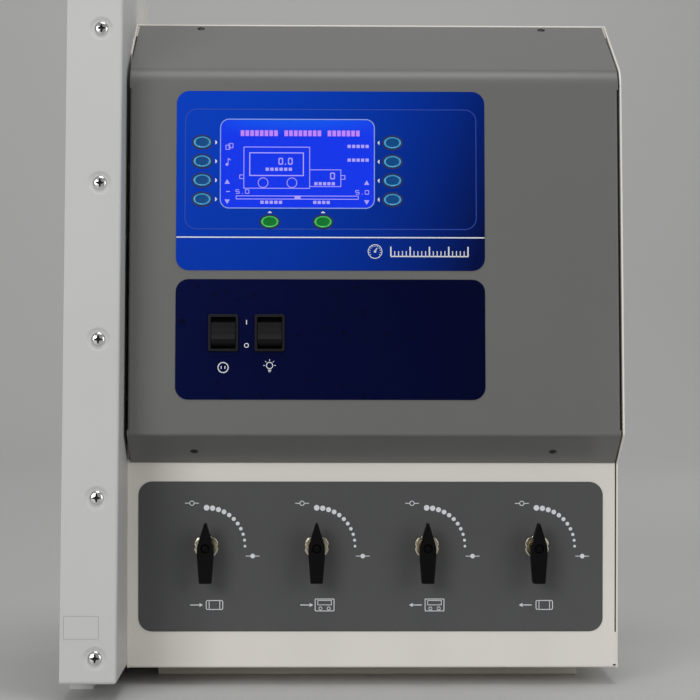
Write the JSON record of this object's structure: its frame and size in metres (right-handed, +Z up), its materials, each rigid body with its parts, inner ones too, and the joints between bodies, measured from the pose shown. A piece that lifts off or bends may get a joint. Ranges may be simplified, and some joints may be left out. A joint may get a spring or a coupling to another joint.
{
  "type": "glove box control console",
  "caption": "Control console of a laboratory glove box: display and keypad, rocker switches and quarter-turn gas valves, bolted to the cabinet's end panel.",
  "frame": {"origin": "middle of the footprint, on the bench", "axes": "+Z up, +X to the user's right, +Y away from the user; the controls face -Y"},
  "size_m": [0.473, 0.3906, 0.625],
  "materials": {
    "cabinet_paint": "satin powder coat, cool off-white",
    "casing_paint": "satin powder coat, warm off-white",
    "plinth_paint": "satin paint, warm grey",
    "cover_paint": "satin textured paint, mid grey",
    "screw_chrome": "bright plated",
    "black_screw": "black oxide",
    "keypad_film": "printed film, bright blue fading to navy",
    "window": "clear, lightly glossy",
    "lcd": "backlit blue display",
    "circuit_board": "solder mask",
    "key_blue": "embossed film over a key",
    "key_green": "embossed film over a key",
    "switch_film": "printed film, navy",
    "switch_black": "moulded",
    "rocker_black": "moulded",
    "valve_film": "printed film, dark grey",
    "nut_steel": "turned",
    "valve_brass": "machined",
    "stem_steel": "turned",
    "handle_black": "moulded nylon",
    "solenoid_black": "encapsulated coil",
    "white_plastic": "moulded",
    "supply_case": "folded sheet",
    "terminal_green": "moulded",
    "ribbon_grey": "flat cable insulation"
  },
  "bodies": {
    "console": {"cabinet_side_panel": "cabinet_paint", "cabinet_base_rail": "plinth_paint", "cabinet_screws": "screw_chrome", "side_panel_left": "casing_paint", "side_panel_right": "casing_paint", "base_pan": "casing_paint", "lower_front_panel": "casing_paint", "front_cover": "cover_paint", "top_panel": "casing_paint", "rear_panel": "casing_paint", "plinth_front": "plinth_paint", "plinth_rear": "plinth_paint", "cover_screws": "black_screw", "rear_screws": "screw_chrome", "console_bolts": "screw_chrome", "keypad_overlay": "keypad_film", "display_window": "window", "lcd_module": "lcd", "keypad_board": "circuit_board", "switch_overlay": "switch_film", "outlet_switch_housing": "switch_black", "light_switch_housing": "switch_black", "valve_overlay": "valve_film", "valve_panel_nuts": "nut_steel", "valve_body_1": "valve_brass", "valve_body_2": "valve_brass", "valve_body_3": "valve_brass", "valve_body_4": "valve_brass", "gas_tubes": "stem_steel", "bulkhead_ports": "stem_steel", "port_nuts": "stem_steel", "fill_solenoid": "solenoid_black", "purge_solenoid": "solenoid_black", "pressure_sensor": "white_plastic", "controller_board": "circuit_board", "board_standoffs": "valve_brass", "power_supply": "supply_case", "terminal_block": "terminal_green", "power_inlet": "switch_black", "ribbon_cable": "ribbon_grey"},
    "valve_1": {"valve_stem_1": "stem_steel", "valve_handle_1": "handle_black"},
    "valve_2": {"valve_stem_2": "stem_steel", "valve_handle_2": "handle_black"},
    "valve_3": {"valve_stem_3": "stem_steel", "valve_handle_3": "handle_black"},
    "valve_4": {"valve_stem_4": "stem_steel", "valve_handle_4": "handle_black"},
    "outlet_switch": {"outlet_rocker": "rocker_black"},
    "light_switch": {"light_rocker": "rocker_black"},
    "left_key_1_cap": {"left_key_1": "key_blue"},
    "left_key_2_cap": {"left_key_2": "key_blue"},
    "left_key_3_cap": {"left_key_3": "key_blue"},
    "left_key_4_cap": {"left_key_4": "key_blue"},
    "right_key_1_cap": {"right_key_1": "key_blue"},
    "right_key_2_cap": {"right_key_2": "key_blue"},
    "right_key_3_cap": {"right_key_3": "key_blue"},
    "right_key_4_cap": {"right_key_4": "key_blue"},
    "purge_key_cap": {"purge_key": "key_green"},
    "fill_key_cap": {"fill_key": "key_green"}
  },
  "joints": [
    {"name": "valve_1_turn", "type": "hinge", "parent": "console", "child": "valve_1", "pos_m": [-0.1208, -0.11274, 0.1205], "axis": [0, 1, 0], "range_deg": [0, 90]},
    {"name": "valve_2_turn", "type": "hinge", "parent": "console", "child": "valve_2", "pos_m": [-0.0254, -0.11274, 0.1205], "axis": [0, 1, 0], "range_deg": [0, 90]},
    {"name": "valve_3_turn", "type": "hinge", "parent": "console", "child": "valve_3", "pos_m": [0.07, -0.11274, 0.1205], "axis": [0, 1, 0], "range_deg": [0, 90]},
    {"name": "valve_4_turn", "type": "hinge", "parent": "console", "child": "valve_4", "pos_m": [0.1654, -0.11274, 0.1205], "axis": [0, 1, 0], "range_deg": [0, 90]},
    {"name": "outlet_switch_rock", "type": "hinge", "parent": "console", "child": "outlet_switch", "pos_m": [-0.10525, -0.12197, 0.30443], "axis": [1, 0, 0], "range_deg": [0, 21]},
    {"name": "light_switch_rock", "type": "hinge", "parent": "console", "child": "light_switch", "pos_m": [-0.06575, -0.12197, 0.30443], "axis": [1, 0, 0], "range_deg": [0, 21]},
    {"name": "left_key_1_press", "type": "slide", "parent": "console", "child": "left_key_1_cap", "axis": [0, 0.9966, -0.0819], "range_m": [0, 0.0008], "stiffness_N_per_m": 1500, "springref_m": -0.0004},
    {"name": "left_key_2_press", "type": "slide", "parent": "console", "child": "left_key_2_cap", "axis": [0, 0.9966, -0.0819], "range_m": [0, 0.0008], "stiffness_N_per_m": 1500, "springref_m": -0.0004},
    {"name": "left_key_3_press", "type": "slide", "parent": "console", "child": "left_key_3_cap", "axis": [0, 0.9966, -0.0819], "range_m": [0, 0.0008], "stiffness_N_per_m": 1500, "springref_m": -0.0004},
    {"name": "left_key_4_press", "type": "slide", "parent": "console", "child": "left_key_4_cap", "axis": [0, 0.9966, -0.0819], "range_m": [0, 0.0008], "stiffness_N_per_m": 1500, "springref_m": -0.0004},
    {"name": "right_key_1_press", "type": "slide", "parent": "console", "child": "right_key_1_cap", "axis": [0, 0.9966, -0.0819], "range_m": [0, 0.0008], "stiffness_N_per_m": 1500, "springref_m": -0.0004},
    {"name": "right_key_2_press", "type": "slide", "parent": "console", "child": "right_key_2_cap", "axis": [0, 0.9966, -0.0819], "range_m": [0, 0.0008], "stiffness_N_per_m": 1500, "springref_m": -0.0004},
    {"name": "right_key_3_press", "type": "slide", "parent": "console", "child": "right_key_3_cap", "axis": [0, 0.9966, -0.0819], "range_m": [0, 0.0008], "stiffness_N_per_m": 1500, "springref_m": -0.0004},
    {"name": "right_key_4_press", "type": "slide", "parent": "console", "child": "right_key_4_cap", "axis": [0, 0.9966, -0.0819], "range_m": [0, 0.0008], "stiffness_N_per_m": 1500, "springref_m": -0.0004},
    {"name": "purge_key_press", "type": "slide", "parent": "console", "child": "purge_key_cap", "axis": [0, 0.9966, -0.0819], "range_m": [0, 0.0008], "stiffness_N_per_m": 1500, "springref_m": -0.0004},
    {"name": "fill_key_press", "type": "slide", "parent": "console", "child": "fill_key_cap", "axis": [0, 0.9966, -0.0819], "range_m": [0, 0.0008], "stiffness_N_per_m": 1500, "springref_m": -0.0004}
  ]
}
